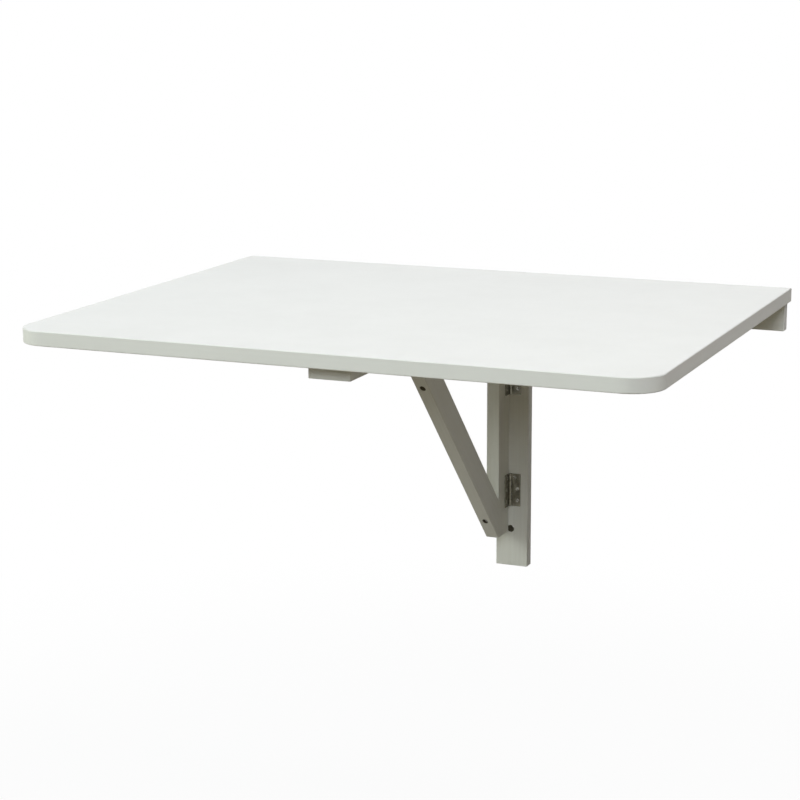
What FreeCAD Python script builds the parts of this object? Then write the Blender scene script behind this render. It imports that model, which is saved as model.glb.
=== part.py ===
import FreeCAD, Part
import math
import os

# Wall-mounted drop-leaf table with one swing-out bracket. Each piece becomes one STEP file in parts/.
# Millimetres. The wall is the plane Y = 0, the room is towards -Y, +X runs right along the wall, +Z is up.
# The origin is the middle of the wall rail's back face. The bracket turns about Z and folds to the right.
# The leaf turns about X. With the bracket folded away, it has room to drop until it hangs down.

V = FreeCAD.Vector
X_AXIS = V(1, 0, 0)
Y_AXIS = V(0, 1, 0)
Z_AXIS = V(0, 0, 1)

# ---- driving dimensions -----------------------------------------------------------------------------

# leaf: one painted board, square at the wall and rounded at the front
leaf_width = 750.0
leaf_depth = 600.0
leaf_thickness = 17.0
leaf_corner_r = 38.0
leaf_arris_r = 1.2
leaf_wall_gap = 2.0
leaf_rail_gap = 2.0

# wall rail and the batten under its middle, cut from one board
frame_thickness = 15.0
rail_height = 34.0
rail_end_inset = 5.0
batten_width = 44.0
batten_tail = 47.8
wood_arris_r = 1.0

# swing bracket: arm over post, with a sloping brace between them
bracket_thickness = 17.5
post_depth = 38.0
post_length = 294.0
post_gap = 0.5
arm_height = 36.0
arm_side_margin = 36.0
brace_width = 36.0
brace_end_margin = 6.0
stow_clearance = 3.6

# notch in the arm where it folds below the right leaf hinge
notch_margin = 3.0
notch_floor_clearance = 1.2

# thin plastic glide glued under the leaf, which the arm slides below and carries
glide_width = 60.0
glide_depth = 40.0
glide_thickness = 1.0
glide_corner_r = 5.0
glide_arm_gap = 0.2
glide_inset = 8.0

# grip cleat under the front of the leaf
cleat_width = 50.0
cleat_depth = 60.0
cleat_thickness = 18.0
cleat_setback = 31.0
cleat_side_offset = 5.0

# bracket hinges: butt hinges in the corner between batten and post
bracket_hinge_length = 44.0
bracket_flap_width = 14.0
bracket_plate = 1.5
bracket_knuckle_r = 2.1
bracket_pin_r = 1.0
upper_hinge_drop = 84.4
lower_hinge_rise = 57.3
bracket_flap_screws = ((17.0, 6.4), (1.6, 10.2), (-14.2, 10.2))

# leaf hinges: flat flap hinges, one flap let into the rail's top and the other under the leaf
leaf_hinge_length = 50.0
leaf_hinge_side_inset = 145.0
leaf_plate = 2.0
leaf_knuckle_r = 3.2
leaf_pin_r = 1.5
leaf_flap_width = 30.0
rail_flap_inset = 5.0
leaf_flap_screw_pitch = 18.0
leaf_flap_screw_reach = 16.0
rail_flap_screw_inset = 9.5

# every hinge
barrel_count = 5
barrel_gap = 0.25
knuckle_clearance = 0.3
pin_clearance = 0.05
fitting_clearance = 0.1

# screws: (head radius, shank radius), how deep they bite and how far their heads are sunk
small_screw = (2.6, 1.4)
flap_screw = (3.2, 1.6)
frame_screw = (3.6, 2.0)
bracket_flap_bite = 11.5
rail_flap_bite = 16.0
batten_end_bite = 33.0
post_end_bite = 26.0
brace_bite = 24.0
leaf_cover = 4.0
frame_recess = 7.0
brace_recess = 9.0
cleat_recess = 4.0
joint_screw_pitch = 24.0
arm_screw_pitch = 18.0
cleat_screw_pitch = 26.0
screw_clearance = 0.05
screw_tip = 4.0
cross_slot = 0.9
cross_span = 0.9
cross_depth = 0.75

# where the brace's screw and dowel cross each joint, as shares of the joint from the brace's outer face
screw_place = 0.56
arm_screw_place = 0.88
dowel_place = 0.83
arm_dowel_place = 0.46
dowel_r = 3.0
dowel_length = 30.0
dowel_clearance = 0.05

# holes for the wall screws
wall_hole_r = 2.75
counterbore_r = 4.75
counterbore_depth = 6.0
outer_hole_inset = 40.0
inner_hole_x = 120.0
batten_hole_inset = 20.5
upper_hole_drop = 45.0
lower_hole_rise = 51.0

# how far a cutting shape runs past the face that it opens
overrun = 1.0

# ---- places that follow from the dimensions ---------------------------------------------------------

rail_half = leaf_width / 2 - rail_end_inset
rail_top = rail_height / 2
rail_bottom = -rail_height / 2
frame_face = -frame_thickness
leaf_under = rail_top + leaf_rail_gap
leaf_front = -leaf_wall_gap - leaf_depth

bracket_left = -bracket_thickness / 2
bracket_right = bracket_thickness / 2
bracket_axis_x = bracket_right + bracket_knuckle_r + knuckle_clearance
bracket_axis_y = frame_face - bracket_knuckle_r - knuckle_clearance

arm_top = leaf_under - glide_thickness - glide_arm_gap
arm_bottom = arm_top - arm_height
arm_front = bracket_axis_y - (leaf_width / 2 - arm_side_margin - bracket_axis_x)
post_back = frame_face - post_gap
post_front = post_back - post_depth
post_bottom = arm_bottom - post_length

batten_left = bracket_left
batten_right = batten_left + batten_width
batten_bottom = post_bottom - batten_tail

brace_toe = arm_front + brace_end_margin
brace_angle = math.atan2(arm_bottom - post_bottom, post_front - brace_toe)
brace_slope = math.tan(brace_angle)
brace_length = math.hypot(arm_bottom - post_bottom, post_front - brace_toe)
arm_joint = brace_width / math.sin(brace_angle)
post_joint = brace_width / math.cos(brace_angle)

# folded away, the bracket reaches as far into the room as its left face is from its axis now,
# and the hanging leaf clears it
stowed_front = bracket_axis_y - (bracket_axis_x - bracket_left)
leaf_axis_z = leaf_under - leaf_knuckle_r - knuckle_clearance
leaf_axis_y = stowed_front - stow_clearance + (leaf_under - leaf_axis_z)

leaf_hinge_x = leaf_width / 2 - leaf_hinge_side_inset
leaf_hinges = {"left": -leaf_hinge_x, "right": leaf_hinge_x}
bracket_hinges = {"upper": arm_bottom - upper_hinge_drop, "lower": post_bottom + lower_hinge_rise}

cleat_left = cleat_side_offset - cleat_width / 2
cleat_front = leaf_front + cleat_setback
cleat_bottom = leaf_under - cleat_thickness


# ---- shapes that several pieces use -----------------------------------------------------------------

def block(x0, x1, y0, y1, z0, z1):
    """Box between two corners."""
    return Part.makeBox(x1 - x0, y1 - y0, z1 - z0, V(x0, y0, z0))


def board(x0, x1, y0, y1, z0, z1):
    """Planed board with every arris eased."""
    plain = block(x0, x1, y0, y1, z0, z1)
    return plain.makeFillet(wood_arris_r, plain.Edges)


def cylinder(radius, start, direction, length):
    """Cylinder from start along direction."""
    return Part.makeCylinder(radius, length, start, direction)


def bored(shape, holes):
    """Shape with every hole cut out of it."""
    return shape.cut(Part.Compound(holes))


def wall_hole(x, z):
    """Screw hole along Y through the wall frame, counterbored in front for the head."""
    bore = cylinder(wall_hole_r, V(x, overrun, z), -Y_AXIS, frame_thickness + 2 * overrun)
    head = cylinder(counterbore_r, V(x, frame_face - overrun, z), Y_AXIS, counterbore_depth + overrun)
    return bore.fuse(head)


def dowel_at(middle, direction, extra):
    """Dowel centred on the joint it crosses, or its hole where extra is the clearance."""
    start = middle - direction * (dowel_length / 2 + extra)
    return cylinder(dowel_r + extra, start, direction, dowel_length + 2 * extra)


class Screws:
    """Equal countersunk screws: head points, direction, length, and how far their heads are sunk."""

    def __init__(self, size, length, points, direction, recess=0.0):
        self.head_r, self.shank_r = size
        self.length = length
        self.points = points
        self.direction = direction
        self.recess = recess

    def moved(self, shape, point):
        """Shape drawn along +Z from the origin, put at one screw's place."""
        shape.Placement = FreeCAD.Placement(point, FreeCAD.Rotation(Z_AXIS, self.direction))
        return shape

    def turned(self, profile):
        """Solid turned about Z from (radius, depth) points."""
        points = [V(radius, 0, depth) for radius, depth in profile]
        return Part.Face(Part.makePolygon(points + [points[0]])).revolve(V(0, 0, 0), Z_AXIS, 360)

    def solids(self):
        """The screws, each with a cross recess in its head."""
        head_depth = self.head_r - self.shank_r
        screw = self.turned([(0, 0), (self.head_r, 0), (self.shank_r, head_depth),
                             (self.shank_r, self.length - screw_tip), (0, self.length)])
        floor = head_depth * cross_depth
        span = (self.head_r - floor) * cross_span
        half = cross_slot / 2
        cross = block(-span, span, -half, half, -overrun, floor)
        cross = cross.fuse(block(-half, half, -span, span, -overrun, floor))
        screw = screw.cut(cross)
        return Part.Compound([self.moved(screw.copy(), point) for point in self.points])

    def holes(self):
        """The hole each screw fills, open above its head."""
        head_r = self.head_r + screw_clearance
        shank_r = self.shank_r + screw_clearance
        depth = self.length + screw_clearance
        mouth = -self.recess - overrun
        hole = self.turned([(0, mouth), (head_r, mouth), (head_r, 0), (shank_r, head_r - shank_r),
                            (shank_r, depth - screw_tip), (0, depth)])
        return [self.moved(hole.copy(), point) for point in self.points]


# A hinge is drawn with its pin along local Z and its flap along local +X, then put in its place.

def barrel_spans(length, own):
    """Low and high end of the barrels whose places in the row are even (own 0) or odd (own 1)."""
    pitch = length / barrel_count
    spans = []
    for place in range(own, barrel_count, 2):
        low = -length / 2 + place * pitch
        high = low + pitch
        if place > 0:
            low += barrel_gap / 2
        if place < barrel_count - 1:
            high -= barrel_gap / 2
        spans.append((low, high))
    return spans


def hinge_flap(length, width, plate_span, knuckle_r, pin_r, own):
    """Flap plate with its own barrels, notched round those of the other flap."""
    plate_low, plate_high = plate_span
    flap = block(0, width, plate_low, plate_high, -length / 2, length / 2)
    room = knuckle_r + knuckle_clearance
    for low, high in barrel_spans(length, 1 - own):
        flap = flap.cut(block(-overrun, room, -room, room, low - barrel_gap, high + barrel_gap))
    for low, high in barrel_spans(length, own):
        flap = flap.fuse(cylinder(knuckle_r, V(0, 0, low), Z_AXIS, high - low))
    bore = cylinder(pin_r + pin_clearance, -Z_AXIS * length, Z_AXIS, 2 * length)
    return flap.cut(bore).removeSplitter()


def placed(flap, point, along, pin):
    """Flap moved so that it runs along one direction and its pin along another."""
    flap.Placement = FreeCAD.Placement(point, FreeCAD.Rotation(along, pin.cross(along), pin, "ZXY"))
    return flap


# ---- fasteners: a hole and its screw come from the same values --------------------------------------

def bracket_flap_points(side):
    """Head places of the screws of the bracket hinge flaps on one side."""
    points = []
    for height in bracket_hinges.values():
        for rise, reach in bracket_flap_screws:
            if side == "batten":
                points.append(V(bracket_axis_x + reach, frame_face - bracket_plate, height + rise))
            else:
                points.append(V(bracket_right + bracket_plate, bracket_axis_y - reach, height + rise))
    return points


def leaf_flap_points(y, z):
    """Head places of the screws of both leaf hinges, in one row at y and z."""
    return [V(x + step * leaf_flap_screw_pitch, y, z) for x in leaf_hinges.values() for step in (-1, 0, 1)]


def pair(middle, direction, pitch):
    """Two points either side of a middle."""
    return [middle - direction * (pitch / 2), middle + direction * (pitch / 2)]


bracket_flap_screw = bracket_plate + bracket_flap_bite
batten_flap_set = Screws(small_screw, bracket_flap_screw, bracket_flap_points("batten"), Y_AXIS)
post_flap_set = Screws(small_screw, bracket_flap_screw, bracket_flap_points("post"), -X_AXIS)
rail_flap_set = Screws(flap_screw, leaf_plate + rail_flap_bite,
                       leaf_flap_points(-rail_flap_screw_inset, rail_top), -Z_AXIS)
leaf_flap_set = Screws(flap_screw, leaf_plate + leaf_thickness - leaf_cover,
                       leaf_flap_points(leaf_axis_y - leaf_flap_screw_reach, leaf_under - leaf_plate), Z_AXIS)

joint_middle = V((batten_left + batten_right) / 2, frame_face / 2, rail_top - frame_recess)
joint_set = Screws(frame_screw, rail_height - frame_recess + batten_end_bite,
                   pair(joint_middle, X_AXIS, joint_screw_pitch), -Z_AXIS, frame_recess)
arm_middle = V(0, (post_back + post_front) / 2, arm_top - frame_recess)
arm_set = Screws(frame_screw, arm_height - frame_recess + post_end_bite,
                 pair(arm_middle, Y_AXIS, arm_screw_pitch), -Z_AXIS, frame_recess)
cleat_middle = V(cleat_side_offset, cleat_front + cleat_depth / 2, cleat_bottom + cleat_recess)
cleat_set = Screws(frame_screw, cleat_thickness - cleat_recess + leaf_thickness - leaf_cover,
                   pair(cleat_middle, X_AXIS, cleat_screw_pitch), Z_AXIS, cleat_recess)

# the brace's screws start in its sloping outer face: one goes up into the arm, one level into the post
slope_rise = frame_screw[0] * max(brace_slope, 1 / brace_slope)
up_run = arm_joint * arm_screw_place * brace_slope
up_head = V(0, brace_toe + arm_joint * arm_screw_place, arm_bottom - up_run + brace_recess)
brace_arm_set = Screws(frame_screw, up_run - brace_recess + brace_bite, [up_head], Z_AXIS,
                       brace_recess + slope_rise)
level_run = post_joint * screw_place / brace_slope
level_head = V(0, post_front - level_run + brace_recess, post_bottom + post_joint * screw_place)
brace_post_set = Screws(frame_screw, level_run - brace_recess + brace_bite, [level_head], Y_AXIS,
                        brace_recess + slope_rise)
arm_dowel_middle = V(0, brace_toe + arm_joint * arm_dowel_place, arm_bottom)
post_dowel_middle = V(0, post_front, post_bottom + post_joint * dowel_place)


# ---- wall frame -------------------------------------------------------------------------------------

def wall_rail():
    """Board along the wall that carries the leaf's hinges and the wall screws."""
    rail = board(-rail_half, rail_half, frame_face, 0, rail_bottom, rail_top)
    holes = [wall_hole(side * x, 0) for side in (-1, 1) for x in (rail_half - outer_hole_inset, inner_hole_x)]
    half = leaf_hinge_length / 2 + fitting_clearance
    for x in leaf_hinges.values():
        holes.append(block(x - half, x + half, frame_face - overrun, fitting_clearance - rail_flap_inset,
                           rail_top - leaf_plate, rail_top + overrun))
    return bored(rail, holes + rail_flap_set.holes() + joint_set.holes())


def wall_batten():
    """Upright under the rail's middle that carries the bracket's hinges."""
    batten = board(batten_left, batten_right, frame_face, 0, batten_bottom, rail_bottom)
    x = batten_left + batten_hole_inset
    holes = [wall_hole(x, rail_bottom - upper_hole_drop), wall_hole(x, batten_bottom + lower_hole_rise)]
    return bored(batten, holes + batten_flap_set.holes() + joint_set.holes())


# ---- swing bracket ----------------------------------------------------------------------------------

def bracket_post():
    """Upright of the bracket, hinged to the batten along its back right arris."""
    post = board(bracket_left, bracket_right, post_front, post_back, post_bottom, arm_bottom)
    holes = post_flap_set.holes() + arm_set.holes() + brace_post_set.holes()
    return bored(post, holes + [dowel_at(post_dowel_middle, Y_AXIS, dowel_clearance)])


def bracket_arm():
    """Top member of the bracket, notched to pass below the right leaf hinge as it folds away."""
    arm = board(bracket_left, bracket_right, arm_front, post_back, arm_bottom, arm_top)
    hinge_left = leaf_hinge_x - leaf_hinge_length / 2 - bracket_axis_x
    hinge_right = leaf_hinge_x + leaf_hinge_length / 2 - bracket_axis_x
    hinge_front = bracket_axis_y - leaf_axis_y + leaf_flap_width
    near = hinge_left - notch_margin
    far = math.hypot(hinge_right, hinge_front) + notch_margin
    floor = leaf_axis_z - leaf_knuckle_r - notch_floor_clearance
    notch = block(bracket_left - overrun, bracket_right + overrun,
                  bracket_axis_y - far, bracket_axis_y - near, floor, arm_top + overrun)
    holes = arm_set.holes() + brace_arm_set.holes()
    return bored(arm, holes + [notch, dowel_at(arm_dowel_middle, Z_AXIS, dowel_clearance)])


def bracket_brace():
    """Sloping strut from the post's foot to the arm's end, cut to lie flat on both."""
    corners = [V(bracket_left, post_front, post_bottom),
               V(bracket_left, brace_toe, arm_bottom),
               V(bracket_left, brace_toe + arm_joint, arm_bottom),
               V(bracket_left, post_front, post_bottom + post_joint)]
    outline = Part.Face(Part.makePolygon(corners + [corners[0]]))
    brace = outline.extrude(X_AXIS * bracket_thickness)
    brace = brace.makeFillet(wood_arris_r, [edge for edge in brace.Edges if edge.Length > brace_length / 2])
    holes = brace_arm_set.holes() + brace_post_set.holes()
    holes += [dowel_at(arm_dowel_middle, Z_AXIS, dowel_clearance),
              dowel_at(post_dowel_middle, Y_AXIS, dowel_clearance)]
    return bored(brace, holes)


# ---- leaf -------------------------------------------------------------------------------------------

def table_top():
    """The leaf: square corners at the wall, round ones in front, eased arrises all round."""
    half = leaf_width / 2
    leaf = block(-half, half, leaf_front, -leaf_wall_gap, leaf_under, leaf_under + leaf_thickness)
    upright = [edge for edge in leaf.Edges if edge.BoundBox.ZLength > leaf_thickness / 2]
    leaf = leaf.makeFillet(leaf_corner_r, [edge for edge in upright if edge.BoundBox.YMax < leaf_front / 2])
    rims = [edge for edge in leaf.Edges if edge.BoundBox.ZLength < leaf_thickness / 2]
    leaf = leaf.makeFillet(leaf_arris_r, rims)
    return bored(leaf, leaf_flap_set.holes() + cleat_set.holes())


def grip_cleat():
    """Block under the leaf's front that fingers lift by."""
    cleat = board(cleat_left, cleat_left + cleat_width, cleat_front, cleat_front + cleat_depth,
                  cleat_bottom, leaf_under)
    return bored(cleat, cleat_set.holes())


def arm_glide():
    """Glide under the leaf above the arm's end, with rounded corners."""
    front = arm_front + glide_inset
    glide = block(-glide_width / 2, glide_width / 2, front, front + glide_depth,
                  leaf_under - glide_thickness, leaf_under)
    upright = [edge for edge in glide.Edges if edge.BoundBox.ZLength > glide_thickness / 2]
    return glide.makeFillet(glide_corner_r, upright)


# ---- hinges -----------------------------------------------------------------------------------------

def bracket_hinge(name, height):
    """One butt hinge of the bracket: a flap on the batten, a flap on the post, and the pin."""
    middle = V(bracket_axis_x, bracket_axis_y, height)
    back = bracket_knuckle_r + knuckle_clearance
    front = back - bracket_plate
    radii = (bracket_knuckle_r, bracket_pin_r)
    batten_flap = hinge_flap(bracket_hinge_length, bracket_flap_width, (front, back), *radii, 0)
    post_flap = hinge_flap(bracket_hinge_length, bracket_flap_width, (-back, -front), *radii, 1)
    foot = middle - Z_AXIS * (bracket_hinge_length / 2)
    return {
        "bracket_hinge_%s_batten_flap" % name: bored(placed(batten_flap, middle, X_AXIS, Z_AXIS),
                                                     batten_flap_set.holes()),
        "bracket_hinge_%s_post_flap" % name: bored(placed(post_flap, middle, -Y_AXIS, Z_AXIS),
                                                   post_flap_set.holes()),
        "bracket_hinge_%s_pin" % name: cylinder(bracket_pin_r, foot, Z_AXIS, bracket_hinge_length),
    }


def leaf_hinge(name, x):
    """One hinge of the leaf: a flap let into the rail, a flap under the leaf, and the pin."""
    middle = V(x, leaf_axis_y, leaf_axis_z)
    rail_level = rail_top - leaf_axis_z
    leaf_level = leaf_under - leaf_axis_z
    radii = (leaf_knuckle_r, leaf_pin_r)
    rail_flap = hinge_flap(leaf_hinge_length, -rail_flap_inset - leaf_axis_y,
                           (rail_level - leaf_plate, rail_level), *radii, 0)
    leaf_flap = hinge_flap(leaf_hinge_length, leaf_flap_width,
                           (-leaf_level, leaf_plate - leaf_level), *radii, 1)
    foot = middle - X_AXIS * (leaf_hinge_length / 2)
    return {
        "leaf_hinge_%s_rail_flap" % name: bored(placed(rail_flap, middle, Y_AXIS, X_AXIS),
                                                rail_flap_set.holes()),
        "leaf_hinge_%s_leaf_flap" % name: bored(placed(leaf_flap, middle, -Y_AXIS, X_AXIS),
                                                leaf_flap_set.holes()),
        "leaf_hinge_%s_pin" % name: cylinder(leaf_pin_r, foot, X_AXIS, leaf_hinge_length),
    }


# ---- every piece, by the name of its node -----------------------------------------------------------

pieces = {
    "wall_rail": wall_rail(),
    "wall_batten": wall_batten(),
    "rail_batten_screws": joint_set.solids(),
    "batten_flap_screws": batten_flap_set.solids(),
    "rail_flap_screws": rail_flap_set.solids(),
    "bracket_post": bracket_post(),
    "bracket_arm": bracket_arm(),
    "bracket_brace": bracket_brace(),
    "arm_post_screws": arm_set.solids(),
    "brace_arm_screw": brace_arm_set.solids(),
    "brace_post_screw": brace_post_set.solids(),
    "brace_arm_dowel": dowel_at(arm_dowel_middle, Z_AXIS, 0),
    "brace_post_dowel": dowel_at(post_dowel_middle, Y_AXIS, 0),
    "post_flap_screws": post_flap_set.solids(),
    "table_top": table_top(),
    "grip_cleat": grip_cleat(),
    "arm_glide": arm_glide(),
    "cleat_screws": cleat_set.solids(),
    "leaf_flap_screws": leaf_flap_set.solids(),
}
for hinge_name, hinge_height in bracket_hinges.items():
    pieces.update(bracket_hinge(hinge_name, hinge_height))
for hinge_name, hinge_x in leaf_hinges.items():
    pieces.update(leaf_hinge(hinge_name, hinge_x))

os.makedirs("parts", exist_ok=True)
for node, shape in pieces.items():
    assert shape.isValid() and shape.Volume > 0, node
    shape.exportStep("parts/%s.step" % node)
    print("%-34s %2d solid(s) %12.1f mm3" % (node, len(shape.Solids), shape.Volume))
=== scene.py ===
import math

import bmesh
import bpy
from mathutils import Matrix, Vector


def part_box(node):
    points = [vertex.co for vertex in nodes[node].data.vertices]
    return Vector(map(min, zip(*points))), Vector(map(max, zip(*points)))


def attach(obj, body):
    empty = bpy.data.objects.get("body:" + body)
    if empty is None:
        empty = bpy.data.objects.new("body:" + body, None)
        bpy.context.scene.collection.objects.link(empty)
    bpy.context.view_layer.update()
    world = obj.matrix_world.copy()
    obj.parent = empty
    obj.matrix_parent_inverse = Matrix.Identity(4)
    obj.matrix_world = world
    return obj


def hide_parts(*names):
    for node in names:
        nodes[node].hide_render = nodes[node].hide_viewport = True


# A wall-mounted table with one hinged leaf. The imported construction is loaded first, and each section
# below dresses one group of its pieces. Metres; the wall is the plane y = 0 and the room is towards -y.
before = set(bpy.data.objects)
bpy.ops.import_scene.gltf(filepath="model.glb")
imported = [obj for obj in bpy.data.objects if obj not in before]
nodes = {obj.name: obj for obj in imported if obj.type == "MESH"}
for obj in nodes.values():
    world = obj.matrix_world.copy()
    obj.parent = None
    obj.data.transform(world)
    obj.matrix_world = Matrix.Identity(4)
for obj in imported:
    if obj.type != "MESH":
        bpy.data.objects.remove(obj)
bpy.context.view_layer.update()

# ---- wall rail and batten ----------------------------------------------------------------------------
# Solid softwood boards, planed, with eased arrises, sprayed with white satin paint before assembly.
# The grain shows faintly through the film, which is thin on the arrises. The drilled holes are bare
# wood, painted dark with the shade that fills them.

X, Y, Z = range(3)
PAINT = (0.85, 0.85, 0.815, 1.0)
DULL_PAINT = (0.81, 0.81, 0.775, 1.0)
THIN_PAINT = (0.70, 0.69, 0.65, 1.0)
# Bare wood of the drilled holes, darkened well below its own tone as painted shade inside the holes.
BARE_WOOD_AND_SHADE = (0.16, 0.14, 0.10, 1.0)
CLOUD_SHARE = 0.55
GRAIN_SHARE = 0.30
WEAR_SHARE = 0.30
PAINT_ROUGHNESS = 0.48
MARKS_ROUGHNESS = 0.10
PAINT_SPECULAR = 0.22
PEEL_STRENGTH = 0.08
GRAIN_STRENGTH = 0.28
FILM_RELIEF = 0.0004
GRAIN_ALONG = 7.0
GRAIN_ACROSS = 260.0
ARRIS_WEAR = 0.0011
DRILL_DEPTH = 0.0006


def put(tree, kind, feeds=None, **settings):
    """Adds a shader node. feeds gives its inputs a value, or the output that drives them."""
    node = tree.nodes.new("ShaderNode" + kind)
    for name, value in settings.items():
        setattr(node, name, value)
    for socket, value in (feeds or {}).items():
        if isinstance(value, bpy.types.NodeSocket):
            tree.links.new(value, node.inputs[socket])
        else:
            node.inputs[socket].default_value = value
    return node


def new_group(name, inputs, outputs):
    """Starts a shader group with named sockets and returns it with its two end nodes."""
    group = bpy.data.node_groups.new(name, "ShaderNodeTree")
    for socket, kind in inputs:
        group.interface.new_socket(name=socket, in_out="INPUT", socket_type="NodeSocket" + kind)
    for socket, kind in outputs:
        group.interface.new_socket(name=socket, in_out="OUTPUT", socket_type="NodeSocket" + kind)
    return group, group.nodes.new("NodeGroupInput"), group.nodes.new("NodeGroupOutput")


def scaled(tree, vector, scale):
    """The vector multiplied by scale, which is a number for each axis or one for all."""
    if isinstance(scale, (int, float)):
        scale = (scale, scale, scale)
    return put(tree, "VectorMath", {0: vector, 1: scale}, operation="MULTIPLY").outputs[0]


def arithmetic(tree, operation, first, second=0.0):
    """One step of scalar arithmetic."""
    return put(tree, "Math", {0: first, 1: second}, operation=operation).outputs[0]


def ramp(tree, value, low, high, start=0.0, end=1.0):
    """Maps value smoothly from low..high to start..end."""
    feeds = {"Value": value, "From Min": low, "From Max": high, "To Min": start, "To Max": end}
    return put(tree, "MapRange", feeds, interpolation_type="SMOOTHSTEP").outputs[0]


def board_edges_group():
    """Masks for a planed board whose box is Low to High: its arrises, and what lies inside its faces."""
    group, given, result = new_group(
        "board_edges",
        [("Position", "Vector"), ("Low", "Vector"), ("High", "Vector"), ("Width", "Float")],
        [("Arris", "Float"), ("Drilled", "Float")])
    from_low = put(group, "VectorMath", {0: given.outputs["Position"], 1: given.outputs["Low"]},
                   operation="SUBTRACT").outputs[0]
    from_high = put(group, "VectorMath", {0: given.outputs["High"], 1: given.outputs["Position"]},
                    operation="SUBTRACT").outputs[0]
    nearest = put(group, "VectorMath", {0: from_low, 1: from_high}, operation="MINIMUM").outputs[0]
    away = put(group, "SeparateXYZ", {0: nearest}).outputs
    low_xy = arithmetic(group, "MINIMUM", away[0], away[1])
    high_xy = arithmetic(group, "MAXIMUM", away[0], away[1])
    first = arithmetic(group, "MINIMUM", low_xy, away[2])
    second = arithmetic(group, "MAXIMUM", low_xy, arithmetic(group, "MINIMUM", high_xy, away[2]))
    rough = put(group, "TexNoise", {"Vector": given.outputs["Position"], "Scale": 240.0,
                                    "Detail": 3.0}).outputs[0]
    reach = arithmetic(group, "MULTIPLY", given.outputs["Width"],
                       ramp(group, rough, 0.3, 0.7, 0.35, 1.5))
    share = arithmetic(group, "DIVIDE", second, reach)
    group.links.new(ramp(group, share, 0.2, 1.0, 1.0, 0.0), result.inputs["Arris"])
    group.links.new(ramp(group, first, DRILL_DEPTH * 0.7, DRILL_DEPTH), result.inputs["Drilled"])
    return group


def paint_film_group():
    """Sprayed satin film: fine orange peel, cloudy thickness and faint handling marks."""
    group, given, result = new_group(
        "paint_film", [("Position", "Vector")],
        [("Cloud", "Float"), ("Marks", "Float"), ("Peel", "Float")])
    position = given.outputs["Position"]
    cloud = put(group, "TexNoise", {"Vector": position, "Scale": 14.0, "Detail": 4.0, "Roughness": 0.6})
    marks = put(group, "TexNoise", {"Vector": scaled(group, position, (70.0, 45.0, 70.0)), "Scale": 1.0,
                                    "Detail": 6.0, "Roughness": 0.7, "Distortion": 0.8})
    peel = put(group, "TexNoise", {"Vector": position, "Scale": 520.0, "Detail": 2.0, "Roughness": 0.5})
    group.links.new(ramp(group, cloud.outputs[0], 0.25, 0.75), result.inputs["Cloud"])
    group.links.new(ramp(group, marks.outputs[0], 0.45, 0.75), result.inputs["Marks"])
    group.links.new(peel.outputs[0], result.inputs["Peel"])
    return group


def wood_grain_group():
    """Long grain lines. Stretch holds the lines per metre on each axis, low along the board."""
    group, given, result = new_group(
        "wood_grain", [("Position", "Vector"), ("Stretch", "Vector")], [("Line", "Float")])
    stretched = put(group, "VectorMath", {0: given.outputs["Position"], 1: given.outputs["Stretch"]},
                    operation="MULTIPLY").outputs[0]
    line = put(group, "TexNoise", {"Vector": stretched, "Scale": 1.0, "Detail": 5.0, "Roughness": 0.65,
                                   "Distortion": 0.35})
    group.links.new(ramp(group, line.outputs[0], 0.3, 0.7), result.inputs["Line"])
    return group


BOARD_EDGES = board_edges_group()
PAINT_FILM = paint_film_group()
WOOD_GRAIN = wood_grain_group()


def new_material(name):
    """A material with an empty Principled shader; returns it, its tree and the shader."""
    material = bpy.data.materials.new(name)
    material.use_nodes = True
    return material, material.node_tree, material.node_tree.nodes["Principled BSDF"]


def blended(tree, factor, first, second):
    """Colour mix of two colours."""
    return put(tree, "Mix", {0: factor, 6: first, 7: second}, data_type="RGBA").outputs[2]


def paint_coat(tree, shader, place, stretch, arris, drilled=0.0, grain=1.0):
    """White satin paint over wood: arris and drilled are masks, stretch gives the way of the grain. The
    drilled walls get bare wood darkened as painted shade.
    """
    film = put(tree, "Group", {"Position": place}, node_tree=PAINT_FILM).outputs
    line = put(tree, "Group", {"Position": place, "Stretch": stretch}, node_tree=WOOD_GRAIN).outputs[0]
    cloudy = blended(tree, arithmetic(tree, "MULTIPLY", film["Cloud"], CLOUD_SHARE), PAINT, DULL_PAINT)
    lined = blended(tree, arithmetic(tree, "MULTIPLY", line, GRAIN_SHARE * grain), cloudy, THIN_PAINT)
    worn = blended(tree, arithmetic(tree, "MULTIPLY", arris, WEAR_SHARE), lined, THIN_PAINT)
    # Drilled walls: bare wood darkened as painted shade inside the holes.
    tree.links.new(blended(tree, drilled, worn, BARE_WOOD_AND_SHADE), shader.inputs["Base Color"])
    gloss = put(tree, "MapRange", {"Value": film["Marks"], "To Min": PAINT_ROUGHNESS,
                                   "To Max": PAINT_ROUGHNESS + MARKS_ROUGHNESS}).outputs[0]
    tree.links.new(arithmetic(tree, "MAXIMUM", gloss, drilled), shader.inputs["Roughness"])
    shader.inputs["Specular IOR Level"].default_value = PAINT_SPECULAR
    peel = put(tree, "Bump", {"Height": film["Peel"], "Strength": PEEL_STRENGTH,
                              "Distance": FILM_RELIEF})
    relief = put(tree, "Bump", {"Height": line, "Strength": GRAIN_STRENGTH * grain,
                                "Distance": FILM_RELIEF, "Normal": peel.outputs[0]})
    tree.links.new(relief.outputs[0], shader.inputs["Normal"])


def grain_stretch(along):
    """Grain lines per metre on each axis, for a board that runs along one of them."""
    return [GRAIN_ALONG if axis == along else GRAIN_ACROSS for axis in (X, Y, Z)]


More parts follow.
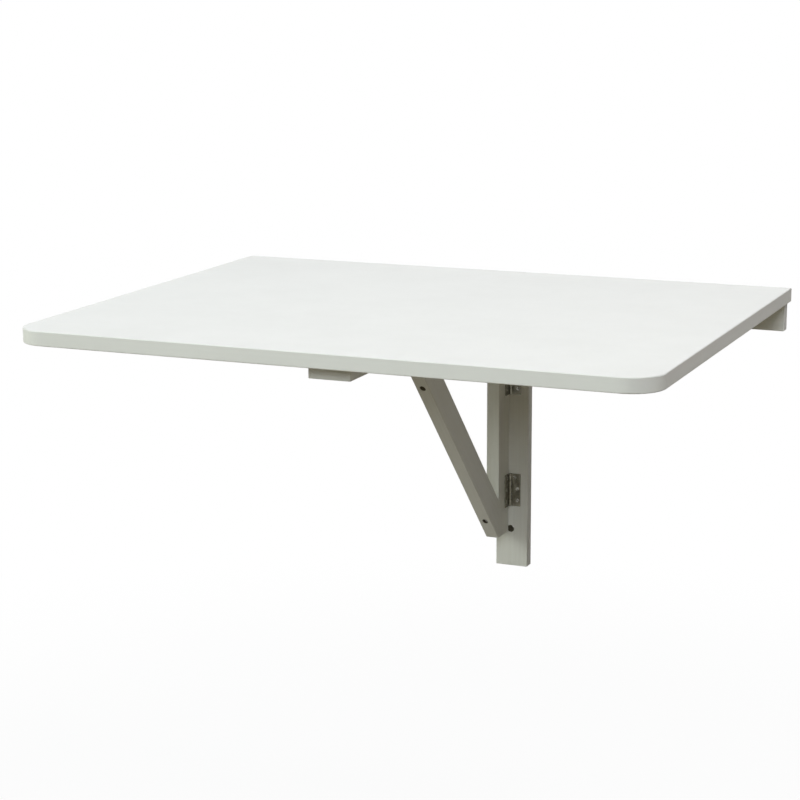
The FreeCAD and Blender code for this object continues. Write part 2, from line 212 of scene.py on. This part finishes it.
def painted_board(name, low, high, along, turn=0.0, pivot=(0.0, 0.0, 0.0)):
    """Paint for a planed board from low to high, its grain along one axis, turned about x at pivot."""
    material, tree, shader = new_material(name)
    place = put(tree, "VectorRotate", {"Vector": put(tree, "TexCoord").outputs["Object"],
                                       "Center": pivot, "Angle": turn},
                rotation_type="X_AXIS").outputs[0]
    edges = put(tree, "Group", {"Position": place, "Low": low, "High": high, "Width": ARRIS_WEAR},
                node_tree=BOARD_EDGES).outputs
    paint_coat(tree, shader, place, grain_stretch(along), edges["Arris"], edges["Drilled"])
    return material


def finish(node, material):
    """Gives a CAD node its material."""
    for slot in nodes[node].material_slots:
        slot.material = material


finish("wall_rail", painted_board("rail_paint", *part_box("wall_rail"), X))
finish("wall_batten", painted_board("batten_paint", *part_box("wall_batten"), Z))

# ---- screws and pins ---------------------------------------------------------------------------------
# Steel wood screws with cross recesses, and the pins of the hinges. The screws of the joints are zinc
# plated. Those of the hinges are bronzed like the flaps, with small bright spots painted on as glints.

ZINC = (0.80, 0.79, 0.74, 1.0)
DULL_ZINC = (0.52, 0.50, 0.45, 1.0)
BRONZED = (0.12, 0.11, 0.08, 1.0)
PATCH_FADE = 0.33
DULL_ROUGHNESS = 0.16
BRUSHED_STRENGTH = 0.12
BRUSHED_RELIEF = 0.0001


def plated_steel(name, bright, dull, roughness, brushed, patches=210.0, dulling=0.35):
    """Plated or bronzed steel, brushed along the axis with the low stretch. It has so many patches per
    metre, and the lower the level dulling, the more of them are dull."""
    material, tree, shader = new_material(name)
    place = put(tree, "TexCoord").outputs["Object"]
    cloud = put(tree, "TexNoise", {"Vector": place, "Scale": patches, "Detail": 5.0, "Roughness": 0.65})
    lines = put(tree, "TexNoise", {"Vector": scaled(tree, place, brushed), "Scale": 1.0, "Detail": 3.0})
    mask = ramp(tree, cloud.outputs[0], dulling, dulling + PATCH_FADE)
    tree.links.new(blended(tree, mask, bright, dull), shader.inputs["Base Color"])
    shine = arithmetic(tree, "MULTIPLY_ADD", mask, DULL_ROUGHNESS)
    shine.node.inputs[2].default_value = roughness
    tree.links.new(shine, shader.inputs["Roughness"])
    shader.inputs["Metallic"].default_value = 1.0
    bump = put(tree, "Bump", {"Height": lines.outputs[0], "Strength": BRUSHED_STRENGTH,
                              "Distance": BRUSHED_RELIEF})
    tree.links.new(bump.outputs[0], shader.inputs["Normal"])
    return material


screw_zinc = plated_steel("screw_zinc", ZINC, DULL_ZINC, 0.30, 2200.0)
for screws in ("rail_batten_screws", "arm_post_screws", "brace_arm_screw", "brace_post_screw",
               "cleat_screws"):
    finish(screws, screw_zinc)
# The hinge screws' bright zinc patches on dark bronze are painted glints.
hinge_screw_painted_glints = plated_steel("hinge_screw_painted_glints", ZINC, BRONZED, 0.30, 2200.0, 390.0, 0.30)
for screws in ("batten_flap_screws", "post_flap_screws", "rail_flap_screws", "leaf_flap_screws"):
    finish(screws, hinge_screw_painted_glints)
for hinge in ("bracket_hinge_upper", "bracket_hinge_lower", "leaf_hinge_left", "leaf_hinge_right"):
    finish(hinge + "_pin", screw_zinc)

# ---- hinges ------------------------------------------------------------------------------------------
# Pressed steel butt hinges on the bracket and flat flap hinges under the leaf, bronzed and gone dull.
# Their flaps are cut from strip with small rounded arrises left by the press and the tumbling.

HINGE_PLATE = (0.21, 0.20, 0.155, 1.0)
HINGE_TARNISH = (0.13, 0.12, 0.09, 1.0)
HINGE_ROUGHNESS = 0.34
UPRIGHT_BRUSHED = (900.0, 900.0, 60.0)
LEVEL_BRUSHED = (60.0, 900.0, 900.0)
TUMBLED_ARRIS = 0.00018
SHARP_ANGLE = math.radians(35)


def tumbled(node, body, material):
    """A copy of a hinge flap with its arrises rounded, shown in the flap's place."""
    mesh = bmesh.new()
    mesh.from_mesh(nodes[node].data)
    bmesh.ops.remove_doubles(mesh, verts=mesh.verts, dist=1e-6)
    bmesh.ops.dissolve_limit(mesh, angle_limit=math.radians(0.5), verts=mesh.verts, edges=mesh.edges)
    arrises = [edge for edge in mesh.edges
               if edge.is_manifold and edge.calc_face_angle(0.0) > SHARP_ANGLE]
    bmesh.ops.bevel(mesh, geom=arrises, offset=TUMBLED_ARRIS, offset_type="OFFSET", affect="EDGES",
                    segments=2, profile=0.5, material=-1, clamp_overlap=True)
    for face in mesh.faces:
        face.smooth = True
    for edge in mesh.edges:
        edge.smooth = edge.is_manifold and edge.calc_face_angle(0.0) < SHARP_ANGLE
    data = bpy.data.meshes.new(node + "_tumbled")
    mesh.to_mesh(data)
    mesh.free()
    piece = bpy.data.objects.new(node + "_tumbled", data)
    bpy.context.scene.collection.objects.link(piece)
    data.materials.append(material)
    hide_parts(node)
    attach(piece, body)


upright_strip = plated_steel("upright_hinge_plate", HINGE_PLATE, HINGE_TARNISH, HINGE_ROUGHNESS,
                             UPRIGHT_BRUSHED)
level_strip = plated_steel("level_hinge_plate", HINGE_PLATE, HINGE_TARNISH, HINGE_ROUGHNESS,
                           LEVEL_BRUSHED)
for place in ("upper", "lower"):
    tumbled("bracket_hinge_%s_batten_flap" % place, "wall_frame", upright_strip)
    tumbled("bracket_hinge_%s_post_flap" % place, "swing_bracket", upright_strip)
for place in ("left", "right"):
    tumbled("leaf_hinge_%s_rail_flap" % place, "wall_frame", level_strip)
    tumbled("leaf_hinge_%s_leaf_flap" % place, "leaf", level_strip)

# ---- swing bracket -----------------------------------------------------------------------------------
# Post, arm and sloping brace of the same painted softwood, screwed and dowelled together. The brace's
# grain runs down its slope. Beech dowels cross its two joints.

finish("bracket_post", painted_board("post_paint", *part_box("bracket_post"), Z))
finish("bracket_arm", painted_board("arm_paint", *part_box("bracket_arm"), Y))

brace_low, brace_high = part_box("bracket_brace")
brace_run = brace_high.y - brace_low.y
brace_drop = brace_high.z - brace_low.z
brace_slope = math.atan2(brace_drop, brace_run)
BRACE_WIDTH = 0.036
brace_toe = Vector((0.0, brace_low.y, brace_high.z))
turned_low = Vector((brace_low.x, brace_toe.y - brace_run, brace_toe.z))
turned_high = Vector((brace_high.x, brace_toe.y + 2 * brace_run, brace_toe.z + BRACE_WIDTH))
finish("bracket_brace", painted_board("brace_paint", turned_low, turned_high, Y, brace_slope, brace_toe))

BEECH = (0.62, 0.44, 0.27, 1.0)
DARK_BEECH = (0.496, 0.352, 0.216, 1.0)
BEECH_STRETCH = (900.0, 300.0, 300.0)
beech, beech_tree, beech_shader = new_material("beech")
beech_lines = put(beech_tree, "Group", node_tree=WOOD_GRAIN)
beech_tree.links.new(put(beech_tree, "TexCoord").outputs["Object"], beech_lines.inputs["Position"])
beech_lines.inputs["Stretch"].default_value = BEECH_STRETCH
beech_tree.links.new(blended(beech_tree, beech_lines.outputs["Line"], BEECH, DARK_BEECH),
                     beech_shader.inputs["Base Color"])
beech_shader.inputs["Roughness"].default_value = 0.6
for dowel in ("brace_arm_dowel", "brace_post_dowel"):
    finish(dowel, beech)

# ---- leaf --------------------------------------------------------------------------------------------
# One board, 17 mm thick, lacquered white all round, with round front corners. The lacquer is smooth and
# even on top. The edges show faint lines from sanding. The grip cleat is a painted softwood block.

LEAF_CORNER = 0.038
LEAF_GRAIN = 0.15
LEAF_ARRIS = 0.0006
LEAF_ARRIS_FADE = 0.0026
leaf_low, leaf_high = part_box("table_top")
leaf_middle = (leaf_low + leaf_high) / 2
leaf_straight = (leaf_high - leaf_low) / 2 - Vector((LEAF_CORNER, LEAF_CORNER, 0.0))


def leaf_arris(tree, place):
    """Mask of the leaf's top and bottom arrises, which follow its round front corners."""
    centred = put(tree, "VectorMath", {0: place, 1: leaf_middle}, operation="SUBTRACT").outputs[0]
    folded = put(tree, "VectorMath", {0: scaled(tree, centred, (1.0, -1.0, 1.0)),
                                      1: scaled(tree, centred, -1.0)}, operation="MAXIMUM").outputs[0]
    past = put(tree, "VectorMath", {0: folded, 1: leaf_straight}, operation="SUBTRACT").outputs[0]
    kept = put(tree, "VectorMath", {0: past, 1: (0.0, 0.0, -1.0)}, operation="MAXIMUM").outputs[0]
    flat = put(tree, "VectorMath", {0: kept, 1: (1.0, 1.0, 0.0)}, operation="MULTIPLY").outputs[0]
    reach = put(tree, "VectorMath", {0: flat}, operation="LENGTH").outputs["Value"]
    from_back = arithmetic(tree, "ADD", put(tree, "SeparateXYZ", {0: folded}).outputs[1],
                           (leaf_high - leaf_middle).y)
    from_side = arithmetic(tree, "MINIMUM", arithmetic(tree, "SUBTRACT", LEAF_CORNER, reach), from_back)
    from_face = arithmetic(tree, "MULTIPLY", put(tree, "SeparateXYZ", {0: past}).outputs[2], -1.0)
    inside = arithmetic(tree, "MAXIMUM", from_side, from_face)
    return ramp(tree, inside, LEAF_ARRIS, LEAF_ARRIS_FADE, 1.0, 0.0)


leaf_paint, leaf_tree, leaf_shader = new_material("leaf_paint")
leaf_place = put(leaf_tree, "TexCoord").outputs["Object"]
paint_coat(leaf_tree, leaf_shader, leaf_place, grain_stretch(X), leaf_arris(leaf_tree, leaf_place),
           grain=LEAF_GRAIN)
finish("table_top", leaf_paint)
finish("grip_cleat", painted_board("cleat_paint", *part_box("grip_cleat"), X))

# ---- glide -------------------------------------------------------------------------------------------
# A thin white nylon plate glued under the leaf, which the arm's end slides below. It is matt and
# slightly rough, and carries the leaf's weight on the arm.

NYLON = (0.78, 0.78, 0.75, 1.0)
nylon, nylon_tree, nylon_shader = new_material("nylon")
nylon_place = put(nylon_tree, "TexCoord").outputs["Object"]
nylon_grit = put(nylon_tree, "TexNoise", {"Vector": nylon_place, "Scale": 1500.0})
nylon_bump = put(nylon_tree, "Bump", {"Height": nylon_grit.outputs[0], "Strength": 0.1,
                                      "Distance": 0.0002})
nylon_tree.links.new(nylon_bump.outputs[0], nylon_shader.inputs["Normal"])
nylon_shader.inputs["Base Color"].default_value = NYLON
nylon_shader.inputs["Roughness"].default_value = 0.5
finish("arm_glide", nylon)

# ---- floor, light and camera -------------------------------------------------------------------------
# A plain white studio: a pale floor at table height below the leaf, clear from below so that it doesn't
# hide the underside, a white surround, and five broad lamps, of which the one behind is weak. The camera
# has a long lens and stands at the front right.

FLOOR_LEVEL = -0.72
FLOOR_HALF = 12.0
FLOOR_COLOUR = (0.23, 0.20, 0.14, 1.0)
FLOOR_SEEN = (0.90, 0.90, 0.90, 1.0)
FLOOR_WHITENESS = 0.93
SHADOW_MIDDLE = (0.0, -0.3, FLOOR_LEVEL)
SHADOW_CORE = 0.64
SHADOW_REACH = 1.6

floor_mesh = bmesh.new()
bmesh.ops.create_grid(floor_mesh, x_segments=1, y_segments=1, size=FLOOR_HALF,
                      matrix=Matrix.Translation((0.0, 0.0, FLOOR_LEVEL)))
floor_data = bpy.data.meshes.new("floor")
floor_mesh.to_mesh(floor_data)
floor_mesh.free()
floor = bpy.data.objects.new("floor", floor_data)
bpy.context.scene.collection.objects.link(floor)


def in_sight(tree):
    """1 for a ray that the camera sees straight, in gloss or through glass, and 0 for one of light."""
    rays = put(tree, "LightPath").outputs
    bent = arithmetic(tree, "MAXIMUM", rays["Is Glossy Ray"], rays["Is Transmission Ray"])
    return arithmetic(tree, "MAXIMUM", rays["Is Camera Ray"], bent)


floor_paint, floor_tree, floor_shader = new_material("floor_white")
floor_shader.inputs["Roughness"].default_value = 0.9
seen = in_sight(floor_tree)
floor_tree.links.new(blended(floor_tree, seen, FLOOR_COLOUR, FLOOR_SEEN),
                     floor_shader.inputs["Base Color"])
white = put(floor_tree, "Emission", {"Color": (1.0, 1.0, 1.0, 1.0), "Strength": 1.0})
away = put(floor_tree, "VectorMath", {0: put(floor_tree, "TexCoord").outputs["Object"],
                                      1: SHADOW_MIDDLE}, operation="DISTANCE").outputs["Value"]
whiteness = ramp(floor_tree, away, SHADOW_CORE, SHADOW_REACH, FLOOR_WHITENESS, 1.0)
share = arithmetic(floor_tree, "MULTIPLY", seen, whiteness)
topside = put(floor_tree, "MixShader", {0: share, 1: floor_shader.outputs[0], 2: white.outputs[0]})
floor_side = put(floor_tree, "NewGeometry").outputs["Backfacing"]
seen_through = put(floor_tree, "BsdfTransparent").outputs[0]
surface = put(floor_tree, "MixShader", {0: floor_side, 1: topside.outputs[0], 2: seen_through})
floor_tree.links.new(surface.outputs[0], floor_tree.nodes["Material Output"].inputs["Surface"])
floor_data.materials.append(floor_paint)

AMBIENT = 0.015
AMBIENT_COLOUR = (1.0, 0.93, 0.75, 1.0)
WHITE = (1.0, 1.0, 1.0, 1.0)
world = bpy.data.worlds.new("studio")
world.use_nodes = True
sky = world.node_tree
sky_seen = in_sight(sky)
sky_strength = arithmetic(sky, "MULTIPLY_ADD", sky_seen, 1.0 - AMBIENT)
sky_strength.node.inputs[2].default_value = AMBIENT
sky.links.new(blended(sky, sky_seen, AMBIENT_COLOUR, WHITE), sky.nodes["Background"].inputs["Color"])
sky.links.new(sky_strength, sky.nodes["Background"].inputs["Strength"])
bpy.context.scene.world = world

TABLE_MIDDLE = Vector((0.0, -0.3, 0.0))


def softbox(name, place, size, power, colour):
    """A square area lamp at place, facing the middle of the table. Its glare is kept off the paint."""
    lamp = bpy.data.lights.new(name, "AREA")
    lamp.shape = "SQUARE"
    lamp.size = size
    lamp.energy = power
    lamp.color = colour
    holder = bpy.data.objects.new(name, lamp)
    bpy.context.scene.collection.objects.link(holder)
    holder.visible_glossy = False
    facing = (TABLE_MIDDLE - Vector(place)).to_track_quat("-Z", "Y")
    holder.matrix_world = Matrix.Translation(place) @ facing.to_matrix().to_4x4()


softbox("overhead", (-0.5, -0.4, 2.3), 1.8, 22.5, (0.86, 0.89, 1.0))
softbox("left", (-3.9, -2.4, 1.65), 2.2, 103.0, (0.935, 1.0, 0.90))
softbox("front", (1.0, -4.6, 2.34), 2.4, 116.0, (0.92, 0.98, 1.0))
softbox("right", (1.5, -0.5, 2.2), 1.0, 22.5, (1.0, 0.96, 0.95))
softbox("behind", (-0.2, 1.8, 2.2), 1.8, 11.0, (0.95, 0.97, 1.0))

LENS = 95.39
CAMERA_PLACE = (0.9397, -2.5863, 0.4661)
CAMERA_AZIMUTH = math.radians(22.931)
CAMERA_ELEVATION = math.radians(12.373)
CAMERA_ROLL = math.radians(-0.241)
lens = bpy.data.cameras.new("camera")
lens.lens = LENS
camera = bpy.data.objects.new("camera", lens)
bpy.context.scene.collection.objects.link(camera)
camera.matrix_world = (Matrix.Translation(CAMERA_PLACE)
                       @ Matrix.Rotation(CAMERA_AZIMUTH, 4, "Z")
                       @ Matrix.Rotation(math.pi / 2 - CAMERA_ELEVATION, 4, "X")
                       @ Matrix.Rotation(CAMERA_ROLL, 4, "Z"))
bpy.context.scene.camera = camera
bpy.context.scene.view_settings.view_transform = "Standard"
